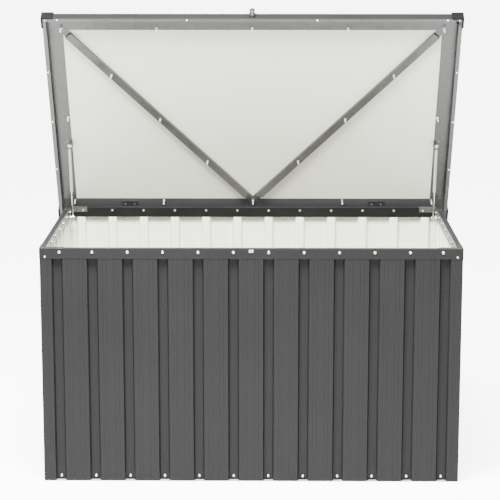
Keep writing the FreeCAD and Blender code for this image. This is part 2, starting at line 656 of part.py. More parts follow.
pin_end = "(knuckle_gap + rivet_height)"
hinge_pin = fuse("hinge_pin_fused", [
    rod("pin_shank", "x", "pin_radius", f"{leaf_low} - {pin_end}", f"{leaf_high} + {pin_end}"),
    rod("pin_head_near", "x", "pin_radius + rivet_height", f"{leaf_low} - {pin_end}",
        f"{leaf_low} - knuckle_gap"),
    rod("pin_head_far", "x", "pin_radius + rivet_height", f"{leaf_high} + knuckle_gap",
        f"{leaf_high} + {pin_end}")])
right_pin = node("right_hinge_pin", at_hinge(hinge_pin))
mirrored("left_hinge_pin", right_pin, TO_LEFT)

box_rivets = []
lid_rivets = []
for side, sign in (("left", "-1"), ("right", "1")):
    row = turned_row(f"{side}_box_rivet", RIVET, "2", "rivet_spread")
    held = group(f"{side}_box_rivets", [row])
    held.Placement = Placement(Vector(), Rotation(Vector(0, 0, 1), 180))
    box_rivets.append(move(held, f"{sign} * {HINGE_X}", "body_depth / 2 + leaf_sheet",
                           f"{HINGE_Z} - box_rivet_drop"))
    row = turned_row(f"{side}_leaf_rivet", RIVET, "2", "rivet_spread")
    held = group(f"{side}_leaf_rivets", [row])
    held.Placement = Placement(Vector(), Rotation(Vector(1, 0, 0), 90))
    lid_rivets.append(move(held, f"{sign} * {HINGE_X}", "-lid_rivet_reach",
                           "lid_rise - leaf_sheet"))
    row = turned_row(f"{side}_strut_rivet", RIVET, "2", "lid_bracket_rivets")
    held = group(f"{side}_strut_rivets", [row])
    held.Placement = Placement(Vector(), Rotation(Vector(0, 1, 0), Vector(0, 0, 1),
                                                  Vector(1, 0, 0), "XYZ"))
    lid_rivets.append(move(held, f"{sign} * {RIVET_X}",
                           "-lid_stud_reach", "lid_rise - leaf_sheet"))

# Lid skin: a shallow pan, open below, with an inward lip at the front and sides ------------------

front = f"(-{LID_FRONT})"
skin_solid = block("skin_solid", (f"-{LID_HALF}", LID_HALF), (front, LID_REAR),
                   (LIP_BOTTOM, LID_TOP))
skin_space = block("skin_space", (f"-{LID_HALF} + panel_sheet", f"{LID_HALF} - panel_sheet"),
                   (f"{front} + panel_sheet", f"{LID_REAR} - panel_sheet"),
                   (f"{LIP_BOTTOM} + panel_sheet", f"{LID_TOP} - panel_sheet"))
skin_mouth = block("skin_mouth", (f"-{LID_HALF} + skin_lip", f"{LID_HALF} - skin_lip"),
                   (f"{front} + skin_lip", f"{LID_REAR} - panel_sheet"),
                   (f"{LIP_BOTTOM} - cut_over", f"{LIP_BOTTOM} + 2 * panel_sheet"))

LID_ROWS = {
    # row: count, spacing, reach from the axis, sheets between the web's underside and the nut
    "front": ("2", f"2 * {LID_BOLT_X}", FRONT_BOLTS, "rail_sheet"),
    "front_middle": ("3", f"{LID_BOLT_X} / 2", FRONT_BOLTS, "0"),
    "side": ("2", f"2 * {LID_BOLT_X}", f"({FRONT_BOLTS} + {REAR_BOLTS}) / 2", "0"),
    "rear": ("2", f"2 * {LID_BOLT_X}", REAR_BOLTS, "0"),
    "rear_near": ("2", LID_BOLT_X, REAR_BOLTS, "0"),
    "rear_middle": ("1", "0", REAR_BOLTS, "2 * rail_sheet"),
}
DOWN = Placement(Vector(), Rotation(Vector(1, 0, 0), -90))
UP = Placement(Vector(), Rotation(Vector(1, 0, 0), 90))


def downwards(name, row, y, z, x="0"):
    """Turns a row so that its pieces point down from the top of the closed lid."""
    held = group(name, [row])
    held.Placement = DOWN
    return move(held, x, y, z)


def upwards(name, row, y, z, x="0"):
    held = group(name, [row])
    held.Placement = UP
    return move(held, x, y, z)


lid_bolts = []
lid_nuts = []
lid_bolt_holes = []
for name, (count, spacing, reach, packing) in LID_ROWS.items():
    lid_bolts.append(downwards(f"{name}_lid_bolts", turned_row(f"{name}_lid_bolt",
                               bolt(LID_BOLT), count, spacing), f"-({reach})", LID_TOP))
    lid_nuts.append(downwards(f"{name}_lid_nuts", nut_row(f"{name}_lid_nut", "0", count, spacing),
                              f"-({reach})", f"lid_rise - {packing}"))
    cutter = drill(BOLT_HOLE, "0", "panel_sheet + rail_sheet")
    lid_bolt_holes.append(downwards(f"{name}_lid_holes", turned_row(f"{name}_lid_hole", cutter,
                                    count, spacing), f"-({reach})", LID_TOP))

# Braces: channels from the front corner bolts to the middle rear bolt, drawn along x ------------

brace_rise = f"({FRONT_BOLTS} - {REAR_BOLTS})"
brace_length = f"(sqrt({LID_BOLT_X}^2 + {brace_rise}^2))"


def along_brace(thing):
    """Lays a piece drawn along x from the middle rear bolt to the front right bolt."""
    thing.Placement = Placement(Vector(), Rotation(Vector(0, 0, 1), -1))
    bind(thing, "Placement.Rotation.Angle", f"-atan({brace_rise} / {LID_BOLT_X})")
    return move(thing, "0", f"-{REAR_BOLTS}", "lid_rise")


def brace(name, rear_step):
    """A channel, flanges to the skin, on two flat tabs; rear_step lowers its rear tab."""
    half = "brace_width / 2"
    thin = "-rail_sheet"
    tab_z = (f"{thin} - {rear_step}", f"-{rear_step}")
    front = f"{brace_length} - brace_flat"
    web_z = ("-brace_flange", "-brace_flange + rail_sheet")
    pieces = [
        block(f"{name}_web", ("brace_flat", front), (f"-{half}", half), web_z),
        block(f"{name}_rear_tab", ("0", "brace_flat + rail_sheet"), (f"-{half}", half), tab_z),
        block(f"{name}_front_tab", (f"{front} - rail_sheet", brace_length), (f"-{half}", half),
              (thin, "0")),
        rod(f"{name}_rear_end", "z", half, *tab_z),
        rod(f"{name}_front_end", "z", half, thin, "0", x=brace_length)]
    for end, low, high in (("rear", "brace_flat", "brace_flat + rail_sheet"),
                           ("front", f"{front} - rail_sheet", front)):
        pieces.append(block(f"{name}_{end}_wall", (low, high), (f"-{half}", half),
                            ("-brace_flange", "0")))
    for side, low, high in (("a", f"-{half}", f"-{half} + rail_sheet"),
                            ("b", f"{half} - rail_sheet", half)):
        pieces.append(block(f"{name}_flange_{side}", ("brace_flat", front), (low, high),
                            ("-brace_flange", "0")))
    holes = [rod(f"{name}_hole_{step}", "z", BOLT_HOLE, "-brace_flange - rail_sheet", "rail_sheet",
                 x=f"{brace_length} * {step} / 4") for step in range(5)]
    return along_brace(cut(f"{name}_cut", fuse(f"{name}_fused", pieces), holes))


node("right_brace", on_lid(group("right_brace_held", [brace("right_channel", "0")])))
left_channel = doc.addObject("Part::Mirroring", "left_channel_mirrored")
left_channel.Source = brace("left_channel", "rail_sheet")
left_channel.Normal = TO_LEFT
node("left_brace", on_lid(group("left_brace_held", [left_channel])))

brace_pitch = f"({brace_length} / 4)"


def brace_row(name, profile_row, z):
    """A row of three along the right brace and the same along the left one."""
    held = downwards(f"{name}_down", profile_row, "0", z, x=f"{brace_length} / 2")
    right = along_brace(group(f"{name}_right", [held]))
    left = doc.addObject("Part::Mirroring", f"{name}_left")
    left.Source = right
    left.Normal = TO_LEFT
    return [right, left]


brace_bolts = brace_row("brace_bolt", turned_row("brace_bolt_turned", bolt(BRACE_BOLT),
                                                 "3", brace_pitch), "rail_sheet + panel_sheet")
brace_holes = brace_row("brace_hole", turned_row("brace_hole_turned",
                        drill(BOLT_HOLE, "0", "panel_sheet"), "3", brace_pitch),
                        "rail_sheet + panel_sheet")
lid_nuts += brace_row("brace_nut", nut_row("brace_nut_hex", "0", "3", brace_pitch),
                      "-brace_flange")

# Screws through the lips -------------------------------------------------------------------------

side_screw_reach = f"({LID_FRONT} - side_screw_start - 2 * lip_screw_step)"
lip_x = f"({LID_HALF} - lip_screw_inset)"
lip_y = f"({front} + lip_screw_inset)"
LIP_ROWS = {
    "lip_near": ("2", "2 * lip_screw_near", lip_y, LIP_BOTTOM),
    "lip_far": ("2", f"2 * ({LID_HALF} - lip_screw_end)", lip_y, LIP_BOTTOM),
    "side_one": ("2", f"2 * {lip_x}", f"-{side_screw_reach} - lip_screw_step", LIP_BOTTOM),
    "side_two": ("2", f"2 * {lip_x}", f"-{side_screw_reach}", LIP_BOTTOM),
    "side_three": ("2", f"2 * {lip_x}", f"-{side_screw_reach} + lip_screw_step", LIP_BOTTOM),
    "lip_corner": ("2", f"2 * ({LID_HALF} - lip_screw_corner)", lip_y, LIP_BOTTOM),
}
lip_screws = []
lip_holes = []
for name, (count, spacing, y, z) in LIP_ROWS.items():
    lip_screws.append(upwards(f"{name}_screws", turned_row(f"{name}_screw", SCREW, count, spacing),
                              y, z))
    cutter = drill(SCREW_HOLE, "0", "panel_sheet + rail_sheet")
    lip_holes.append(upwards(f"{name}_holes", turned_row(f"{name}_hole", cutter, count, spacing),
                             y, z))

# Every hole of the lid that goes through the frame or the skin -----------------------------------

rivet_holes = []
for side, sign in (("left", "-1"), ("right", "1")):
    for end, step in (("near", "-"), ("far", "+")):
        rivet_holes.append(hole(f"{side}_{end}_leaf_rivet_hole", "z", RIVET_HOLE, "lid_rise",
                               LID_TOP, y="-lid_rivet_reach",
                               x=f"{sign} * {HINGE_X} {step} rivet_spread / 2"))
        rivet_holes.append(hole(f"{side}_{end}_strut_rivet_hole", "z", RIVET_HOLE, "lid_rise",
                               LID_TOP,
                               x=f"{sign} * {RIVET_X}",
                               y=f"-lid_stud_reach {step} lid_bracket_rivets / 2"))
lock_hole = hole("lock_hole", "y", "barrel_radius + fit_gap", front,
                f"{front} + panel_sheet + rail_sheet", z=LOCK_Z)

skin = cut("skin_pan", skin_solid, [skin_space, skin_mouth])
node("lid_panel", on_lid(cut("skin_cut", skin, lid_bolt_holes + brace_holes + lip_holes
                             + rivet_holes + [lock_hole])))

# Lid frame rails: web under the skin, skirt behind the skin's skirt, lip on the skin's lip -------

rail_x = f"({LID_HALF} - panel_sheet)"
rail_front = f"({front} + panel_sheet)"
rail_rear = f"({LID_REAR} - panel_sheet)"
web_front = f"({front} + lid_web)"
web_rear = f"({LID_REAR} - rear_web)"
web_side = f"({LID_HALF} - lid_web)"
web_z = ("lid_rise", "lid_rise + rail_sheet")
lip_z = (f"{LIP_BOTTOM} + panel_sheet", f"{LIP_BOTTOM} + panel_sheet + rail_sheet")
skirt_z = (lip_z[0], web_z[1])

front_rail = fuse("lid_front_fused", [
    block("lid_front_web", (f"-{rail_x}", rail_x), (rail_front, web_front), web_z),
    block("lid_front_skirt", (f"-{rail_x}", rail_x), (rail_front, f"{rail_front} + rail_sheet"),
          skirt_z),
    block("lid_front_lip", (f"-{rail_x}", rail_x), (rail_front, f"{front} + lip_width"), lip_z)])
front_tools = lid_bolt_holes + lip_holes + [lock_hole]
node("lid_front_rail", on_lid(cut("lid_front_cut", front_rail, front_tools)))

rear_rail = fuse("lid_rear_fused", [
    block("lid_rear_web", (f"-{rail_x}", rail_x), (web_rear, rail_rear), web_z),
    block("lid_rear_skirt", (f"-{rail_x}", rail_x), (f"{rail_rear} - rail_sheet", rail_rear),
          skirt_z)])
node("lid_rear_rail", on_lid(cut("lid_rear_cut", rear_rail, lid_bolt_holes + rivet_holes)))

side_rail = fuse("lid_side_fused", [
    block("lid_side_web", (web_side, rail_x), (web_front, web_rear), web_z),
    block("lid_side_skirt", (f"{rail_x} - rail_sheet", rail_x), (web_front, web_rear), skirt_z),
    block("lid_side_lip", (f"{LID_HALF} - lip_width", rail_x), (web_front, web_rear), lip_z)])
side_tools = lid_bolt_holes + lip_holes + rivet_holes
right_rail = node("lid_right_rail", on_lid(cut("lid_side_cut", side_rail, side_tools)))
mirrored("lid_left_rail", right_rail, TO_LEFT)

# Moulded corner caps around the lid's corners ----------------------------------------------------

cap_out = f"({LID_HALF} + cap_wall)"
cap_top = f"({LID_TOP} + cap_plate)"
cap_low = f"({LIP_BOTTOM} - cap_plate)"


def cap(name, y, skin_y, mouth_y):
    """A box around one right-hand corner, less the lid's corner and the open underside."""
    shell = block(f"{name}_shell", (f"{cap_out} - cap_size", cap_out), y, (cap_low, cap_top))
    corner = block(f"{name}_corner", (f"{cap_out} - cap_size - cut_over", LID_HALF), skin_y,
                   (LIP_BOTTOM, LID_TOP))
    mouth = block(f"{name}_mouth",
                  (f"{cap_out} - cap_size - cut_over", f"{LID_HALF} - cap_hook"),
                  mouth_y, (f"{cap_low} - cut_over", LID_TOP))
    return on_lid(cut(f"{name}_cut", shell, [corner, mouth]))


front_out = f"({front} - cap_wall)"
rear_out = f"({LID_REAR} + cap_wall)"
front_cap = cap("front_cap", (front_out, f"{front_out} + cap_size"),
                (front, f"{front_out} + cap_size + cut_over"),
                (f"{front} + cap_hook", f"{front_out} + cap_size + cut_over"))
rear_cap = cap("rear_cap", (f"{rear_out} - cap_size", rear_out),
               (f"{rear_out} - cap_size - cut_over", LID_REAR),
               (f"{rear_out} - cap_size - cut_over", LID_REAR))
for name, source in (("front", front_cap), ("rear", rear_cap)):
    node(f"{name}_right_cap", source)
    mirrored(f"{name}_left_cap", source, TO_LEFT)

# Gas struts, drawn for the right side ------------------------------------------------------------

stud_y = "(body_depth / 2 - stud_back)"
stud_z = "(body_height - stud_drop)"
plate_x = "(body_width / 2 - rail_width - leaf_sheet)"
eye_low = f"({STRUT_X} - eye_width / 2)"
eye_high = f"({STRUT_X} + eye_width / 2)"
lower_bracket = fuse("lower_bracket_fused", [
    block("lower_plate", (plate_x, f"{plate_x} + leaf_sheet"),
          (f"{stud_y} - strut_plate / 2", f"{stud_y} + strut_plate / 2"),
          ("body_height - strut_plate_drop", "body_height - strut_plate_top")),
    rod("lower_stud", "x", "stud_radius", f"{eye_low} - strut_side_gap", plate_x,
        y=stud_y, z=stud_z),
    rod("lower_collar", "x", "stud_flange", f"{eye_high} + strut_side_gap", plate_x,
        y=stud_y, z=stud_z),
    rod("lower_head", "x", "stud_flange", f"{eye_low} - strut_side_gap - stud_cap",
        f"{eye_low} - strut_side_gap", y=stud_y, z=stud_z)])
lower_holes = [hole(f"lower_{end}_hole", "x", SCREW_HOLE, plate_x,
                   f"{plate_x} + leaf_sheet", z="body_height - strut_screw_drop",
                   y=f"{stud_y} {sign} strut_screw_spread / 2")
               for end, sign in (("near", "-"), ("far", "+"))]
right_lower = node("right_strut_box_bracket", cut("lower_bracket_cut", lower_bracket, lower_holes))
mirrored("left_strut_box_bracket", right_lower, TO_LEFT)
strut_screws = group("right_strut_screws", [turned_row("right_strut_screw", SCREW, "2",
                                                       "strut_screw_spread")])
strut_screws.Placement = Placement(Vector(), Rotation(Vector(0, 0, 1), -90))
screws.append(move(strut_screws, plate_x, stud_y, "body_height - strut_screw_drop"))
left_screws = doc.addObject("Part::Mirroring", "left_strut_screws")
left_screws.Source = strut_screws
left_screws.Normal = TO_LEFT
screws.append(left_screws)

bracket_y = ("-lid_stud_reach - lid_bracket_width / 2", "-lid_stud_reach + lid_bracket_width / 2")
upper_bracket = fuse("upper_bracket_fused", [
    block("upper_foot", (LID_BRACKET_X, f"{LID_BRACKET_X} + lid_bracket_width"), bracket_y,
          ("lid_rise - leaf_sheet", "lid_rise")),
    block("upper_plate", (LID_BRACKET_X, f"{LID_BRACKET_X} + leaf_sheet"), bracket_y,
          ("lid_rise - lid_bracket_drop", "lid_rise"))])
upper_holes = [hole(f"upper_{end}_hole", "z", RIVET_HOLE, "lid_rise - leaf_sheet",
                   "lid_rise", x=RIVET_X,
                   y=f"-lid_stud_reach {sign} lid_bracket_rivets / 2")
               for end, sign in (("near", "-"), ("far", "+"))]
right_upper = node("right_strut_lid_bracket",
                   on_lid(cut("upper_bracket_cut", upper_bracket, upper_holes)))
mirrored("left_strut_lid_bracket", right_upper, TO_LEFT)

# The strut at rest: its lean and length follow from the two studs with the lid open.
lean = math.radians(cell("open_angle"))
upper_drop = cell("lid_rise") - cell("lid_stud_drop")
upper_y = (cell("body_depth") / 2 + cell("hinge_standoff")
           - cell("lid_stud_reach") * math.cos(lean) + upper_drop * math.sin(lean))
upper_z = (cell("body_height") - cell("hinge_drop")
           + cell("lid_stud_reach") * math.sin(lean) + upper_drop * math.cos(lean))
lower_y = cell("body_depth") / 2 - cell("stud_back")
lower_z = cell("body_height") - cell("stud_drop")
open_length = math.hypot(upper_y - lower_y, upper_z - lower_z)
strut_tilt = math.degrees(math.atan2(lower_y - upper_y, upper_z - lower_z))


def along_strut(thing):
    """Leans a piece drawn upwards from the lower stud towards the upper one."""
    thing.Placement = Placement(Vector(), Rotation(Vector(1, 0, 0), strut_tilt))
    return move(thing, "0", stud_y, stud_z)


tube_end = f"({open_length} - 2 * eye_radius)"
tube_start = f"({tube_end} - tube_length)"
STUD_BORE = "(stud_radius + pin_gap)"
bore_radius = "(tube_radius - tube_wall)"
rod_piece = fuse("strut_rod_fused", [
    rod("rod_eye", "x", "eye_radius", eye_low, eye_high),
    rod("rod_shaft", "z", "piston_rod", "stud_radius + tube_wall",
        f"{tube_start} + rod_inside", x=STRUT_X),
    rod("rod_piston", "z", f"{bore_radius} - pin_gap",
        f"{tube_start} + rod_inside - piston_length", f"{tube_start} + rod_inside",
        x=STRUT_X)])
rod_bore = hole("rod_eye_bore", "x", STUD_BORE, eye_low, eye_high)
right_rod = node("right_strut_rod", along_strut(cut("strut_rod_cut", rod_piece, [rod_bore])))
mirrored("left_strut_rod", right_rod, TO_LEFT)

stud_tip = f"({LID_BRACKET_X} + leaf_sheet + strut_side_gap)"
tube_piece = fuse("strut_tube_fused", [
    rod("tube_outside", "z", "tube_radius", tube_start, tube_end, x=STRUT_X),
    rod("tube_neck", "z", "piston_rod", f"{tube_end} - tube_wall",
        f"{open_length} - stud_radius - tube_wall", x=STRUT_X),
    rod("tube_eye", "x", "eye_radius", eye_low, eye_high, z=open_length),
    rod("tube_stud", "x", "stud_radius", stud_tip, f"{eye_high} + stud_cap", z=open_length),
    rod("tube_stud_flange", "x", "stud_flange", stud_tip, f"{stud_tip} + stud_cap",
        z=open_length)])
tube_tools = [
    rod("tube_bore", "z", bore_radius, f"{tube_start} + tube_guide",
        f"{tube_end} - 2 * tube_wall", x=STRUT_X),
    hole("tube_mouth", "z", "piston_rod + pin_gap", tube_start,
        f"{tube_start} + tube_guide", x=STRUT_X)]
right_tube = node("right_strut_cylinder",
                  along_strut(cut("strut_tube_cut", tube_piece, tube_tools)))
mirrored("left_strut_cylinder", right_tube, TO_LEFT)

# Push lock in the middle of the lid's front skirt ------------------------------------------------

collar_front = f"({front} - collar_length)"
barrel_end = f"({front} + barrel_length)"
housing = fuse("housing_fused", [
    rod("housing_collar", "y", "collar_radius", collar_front, front, z=LOCK_Z),
    rod("housing_barrel", "y", "barrel_radius", collar_front, barrel_end, z=LOCK_Z)])
housing_tools = [
    rod("housing_bore", "y", "knob_neck + pin_gap", f"{collar_front} - cut_over",
        f"{barrel_end} - lock_end", z=LOCK_Z),
    hole("housing_end", "y", "lock_bolt + pin_gap", f"{barrel_end} - lock_end",
        barrel_end, z=LOCK_Z)]
node("lock_housing", on_lid(cut("housing_cut", housing, housing_tools)))
disc_back = f"({collar_front} - knob_reach)"
plunger = fuse("plunger_fused", [
    rod("plunger_disc", "y", "knob_radius", f"{disc_back} - knob_disc", disc_back, z=LOCK_Z),
    rod("plunger_neck", "y", "knob_neck", disc_back, f"{collar_front} + rail_sheet", z=LOCK_Z),
    rod("plunger_bolt", "y", "lock_bolt", disc_back, f"{barrel_end} + rail_sheet", z=LOCK_Z)])
node("lock_plunger", on_lid(plunger))

# Fasteners: equal pieces share one sub-part ------------------------------------------------------

node("rail_bolts", group("rail_bolts", rail_bolts))
node("base_bolts", group("base_bolts", base_bolts))
node("frame_nuts", group("frame_nuts", frame_nuts))
node("frame_screws", group("frame_screws", screws))
node("hinge_rivets", group("hinge_rivets", box_rivets))
node("lid_rivets", on_lid(group("lid_rivets", lid_rivets)))
node("lid_bolts", on_lid(group("lid_bolts", lid_bolts)))
node("lid_nuts", on_lid(group("lid_nuts", lid_nuts)))
node("brace_bolts", on_lid(group("brace_bolts", brace_bolts)))
node("lip_screws", on_lid(group("lip_screws", lip_screws)))

# Build, check and write --------------------------------------------------------------------------

doc.recompute()
failed = [thing.Name for thing in doc.Objects
          if "Invalid" in thing.State or "Error" in thing.State]
for label, thing in nodes.items():
    if thing.Shape.isNull() or not thing.Shape.isValid() or not thing.Shape.Solids:
        failed.append(label)
if failed:
    raise RuntimeError("not built: " + ", ".join(failed))

os.makedirs("parts", exist_ok=True)
for label, thing in nodes.items():
    thing.Shape.exportStep(f"parts/{label}.step")
print(len(nodes), "sub-parts written; strut length open", round(open_length, 2),
      "tilt", round(strut_tilt, 2))
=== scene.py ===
import json
import math

import bmesh
import bpy
from mathutils import Matrix, Vector

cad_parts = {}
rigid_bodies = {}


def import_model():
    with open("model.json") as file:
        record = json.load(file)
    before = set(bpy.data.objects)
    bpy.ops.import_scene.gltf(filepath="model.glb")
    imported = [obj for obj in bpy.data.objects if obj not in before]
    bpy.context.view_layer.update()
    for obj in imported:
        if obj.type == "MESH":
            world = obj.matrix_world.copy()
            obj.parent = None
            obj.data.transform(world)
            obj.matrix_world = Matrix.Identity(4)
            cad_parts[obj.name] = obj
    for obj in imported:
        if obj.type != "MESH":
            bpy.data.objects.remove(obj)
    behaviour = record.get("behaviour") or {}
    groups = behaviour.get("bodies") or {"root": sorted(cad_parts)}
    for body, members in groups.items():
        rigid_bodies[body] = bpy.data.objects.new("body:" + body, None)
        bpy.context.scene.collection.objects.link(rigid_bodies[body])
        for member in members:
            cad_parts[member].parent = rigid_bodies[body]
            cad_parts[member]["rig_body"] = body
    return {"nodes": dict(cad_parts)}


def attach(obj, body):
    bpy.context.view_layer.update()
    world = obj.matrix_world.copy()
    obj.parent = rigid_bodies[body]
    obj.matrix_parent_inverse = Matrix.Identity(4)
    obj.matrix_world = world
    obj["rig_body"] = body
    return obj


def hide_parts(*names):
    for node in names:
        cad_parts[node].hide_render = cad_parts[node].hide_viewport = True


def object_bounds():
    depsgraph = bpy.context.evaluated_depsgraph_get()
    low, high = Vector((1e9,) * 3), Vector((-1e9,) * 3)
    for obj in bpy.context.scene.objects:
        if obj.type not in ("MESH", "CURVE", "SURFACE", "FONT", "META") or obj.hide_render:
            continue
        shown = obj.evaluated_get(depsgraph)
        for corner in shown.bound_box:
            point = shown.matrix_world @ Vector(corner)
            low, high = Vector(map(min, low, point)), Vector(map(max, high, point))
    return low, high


# Deck storage box of folded, painted and galvanised steel sheet. Sizes below are in
# millimetres, and MM takes them into the shared frame, which is in metres.
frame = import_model()
frame_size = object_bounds()

# Ground and studio light: a pale floor that runs on behind the box, an even white surround,
# one broad lamp over the front and two weaker ones at the sides. The camera stands in front,
# a little above the open box, and the floor glows for it alone, so that it reads as white.
GROUND_REACH = 90
GROUND_GAP = 0.0005
CAMERA_GLOW = 6.0
ground_mesh = bpy.data.meshes.new("ground")
ground_mesh.from_pydata([(-GROUND_REACH, -GROUND_REACH, 0), (GROUND_REACH, -GROUND_REACH, 0),
                         (GROUND_REACH, GROUND_REACH, 0), (-GROUND_REACH, GROUND_REACH, 0)],
                        [], [(0, 1, 2, 3)])
ground = bpy.data.objects.new("ground", ground_mesh)
ground.location.z = Vector(frame_size[0]).z - GROUND_GAP
bpy.context.scene.collection.objects.link(ground)
ground_finish = bpy.data.materials.new("pale floor")
ground_finish.use_nodes = True
ground_nodes, ground_links = ground_finish.node_tree.nodes, ground_finish.node_tree.links
ground_shader = ground_nodes["Principled BSDF"]
ground_shader.inputs["Roughness"].default_value = 0.75
ground_shader.inputs["Emission Color"].default_value = (1, 1, 1, 1)
ground_tone = ground_nodes.new("ShaderNodeTexNoise")
ground_tone.inputs["Scale"].default_value = 1.5
ground_range = ground_nodes.new("ShaderNodeMapRange")
ground_range.inputs["To Min"].default_value = 0.86
ground_range.inputs["To Max"].default_value = 0.9
seen = ground_nodes.new("ShaderNodeLightPath")
glow = ground_nodes.new("ShaderNodeMath")
glow.operation = "MULTIPLY"
glow.inputs[1].default_value = CAMERA_GLOW
for start, end in ((ground_tone.outputs["Fac"], ground_range.inputs["Value"]),
                   (ground_range.outputs["Result"], ground_shader.inputs["Base Color"]),
                   (seen.outputs["Is Camera Ray"], glow.inputs[0]),
                   (glow.outputs["Value"], ground_shader.inputs["Emission Strength"])):
    ground_links.new(start, end)
ground_mesh.materials.append(ground_finish)

surround = bpy.data.worlds.new("studio")
surround.use_nodes = True
backdrop = surround.node_tree.nodes["Background"]
backdrop.inputs["Color"].default_value = (1, 1, 1, 1)
backdrop.inputs["Strength"].default_value = 1.25
bpy.context.scene.world = surround

for lamp_name, place, aim, width, power in (
        ("upper_lamp", (-0.4, -1.5, 3.5), (0, 0.1, 0.7), 1.4, 900),
        ("left_lamp", (-4.0, -1.5, 2.0), (0, 0, 0.6), 2.4, 60),
        ("right_lamp", (4.0, -1.5, 2.0), (0, 0, 0.6), 2.4, 30)):
    lamp = bpy.data.lights.new(lamp_name, "AREA")
    lamp.size = width
    lamp.energy = power
    stand = bpy.data.objects.new(lamp_name, lamp)
    stand.location = place
    stand.rotation_euler = (Vector(aim) - Vector(place)).to_track_quat("-Z", "Y").to_euler()
    bpy.context.scene.collection.objects.link(stand)

lens = bpy.data.cameras.new("camera")
lens.lens = 128.65
lens.sensor_width = 36
camera = bpy.data.objects.new("camera", lens)
camera.location = (0.04896, -5.8266, 1.8360)
camera.rotation_euler = (math.radians(78.733), 0, math.radians(0.55))
bpy.context.scene.collection.objects.link(camera)
bpy.context.scene.camera = camera

# Walls: four corrugated sheets of 0.8 mm steel, cold rolled from coil that is painted anthracite
# outside and off-white inside. The rolls leave four fine lines on each flat and two on each
# groove's floor, and all bends are round. The lock's bolt goes through a hole in the front one.
MM = 0.001
BODY_WIDTH, BODY_DEPTH, BODY_HEIGHT = 1320, 770, 756
SHEET, BEND = 0.8, 1.6
GROOVE_PITCH = 110
MOUTH_WIDTH, FLOOR_WIDTH = 34, 26
FACE_DEPTH, FLOOR_DEPTH = 1.0, 16.2
ROLL_LINES = (-24, -12, 12, 24)
ROLL_DEPTH, ROLL_HALF, ROLL_MARGIN = 1.1, 1.4, 14
FLOOR_LINE = (6, 4.6, 3.2)
FLOOR_LINE_RISE = 0.4
CORNER_GAP = 1.0
WALL_LOW, WALL_HIGH = 1.2, 755
STRIKE_HEIGHT, STRIKE_HOLE = 748, 4.3
DRILL_DEPTH, DRILL_SIDES, DRILL_SHARP = 40, 32, 30


def rounded(corners, radius, steps=3):
    """Points of an open line with rounded corners, each with the normal on its left."""
    corners = [Vector(corner) for corner in corners]
    runs = [(b - a).normalized() for a, b in zip(corners, corners[1:])]
    line = [(corners[0], Vector((-runs[0].y, runs[0].x)))]
    for i, (before, after) in enumerate(zip(runs, runs[1:]), start=1):
        turn = math.atan2(before.cross(after), before.dot(after))
        normal = Vector((-before.y, before.x))
        room = 0.45 * min((corners[i] - corners[i - 1]).length,
                          (corners[i + 1] - corners[i]).length)
        reach = min(radius * math.tan(abs(turn) / 2), room)
        bend = math.copysign(reach / math.tan(abs(turn) / 2), turn)
        centre = corners[i] - before * reach + normal * bend
        for step in range(steps + 1):
            spun = Matrix.Rotation(turn * step / steps, 2) @ normal
            line.append((centre - spun * bend, spun))
    line.append((corners[-1], Vector((-runs[-1].y, runs[-1].x))))
    return line


def finished(name, points, faces, slots, sharp=35):
    """A mesh piece with its materials, smooth over bends and crisp at cut edges."""
    mesh = bpy.data.meshes.new(name)
    mesh.from_pydata(points, [], [face for face, _ in faces])
    for polygon, (_, index) in zip(mesh.polygons, faces):
        polygon.material_index = index
        polygon.use_smooth = True
    mesh.set_sharp_from_angle(angle=math.radians(sharp))
    for material in slots:
        mesh.materials.append(material)
    piece = bpy.data.objects.new(name, mesh)
    bpy.context.scene.collection.objects.link(piece)
    shading = piece.modifiers.new("shading", "WEIGHTED_NORMAL")
    shading.keep_sharp = True
    return piece


def folded(name, line, thickness, ends, place, slots):
    """A sheet bent along a line and as long as its ends say, with an outer and an inner face."""
    points = []
    for point, normal in line:
        low, high = ends(point)
        for depth in (0, thickness):
            edge = point + normal * depth
            points += [place(edge, low), place(edge, high)]
    faces = []
    for i in range(0, 4 * (len(line) - 1), 4):
        faces.append(((i, i + 1, i + 5, i + 4), 0))
        faces.append(((i + 2, i + 6, i + 7, i + 3), 1))
        faces.append(((i, i + 4, i + 6, i + 2), 0))
        faces.append(((i + 1, i + 3, i + 7, i + 5), 0))
    last = 4 * (len(line) - 1)
    faces.append(((0, 2, 3, 1), 0))
    faces.append(((last, last + 1, last + 3, last + 2), 0))
    return finished(name, points, faces, slots)


def drilled(piece, spot, along, radius):
    """Cuts a round hole through a piece, at a spot in metres and along a direction."""
    shape = bmesh.new()
    bmesh.ops.create_cone(shape, cap_ends=True, segments=DRILL_SIDES, radius1=radius * MM,
                          radius2=radius * MM, depth=DRILL_DEPTH * MM)
    mesh = bpy.data.meshes.new("drill")
    shape.to_mesh(mesh)
    shape.free()
    drill = bpy.data.objects.new("drill", mesh)
    drill.location = spot
    drill.rotation_euler = along.to_track_quat("Z", "Y").to_euler()
    bpy.context.scene.collection.objects.link(drill)
    piece.modifiers["shading"].show_viewport = False
    hole = piece.modifiers.new("hole", "BOOLEAN")
    hole.object = drill
    state = bpy.context.evaluated_depsgraph_get()
    cut = bpy.data.meshes.new_from_object(piece.evaluated_get(state))
    piece.modifiers.remove(hole)
    piece.modifiers["shading"].show_viewport = True
    cut.set_sharp_from_angle(angle=math.radians(DRILL_SHARP))
    piece.data = cut
    bpy.data.objects.remove(drill)


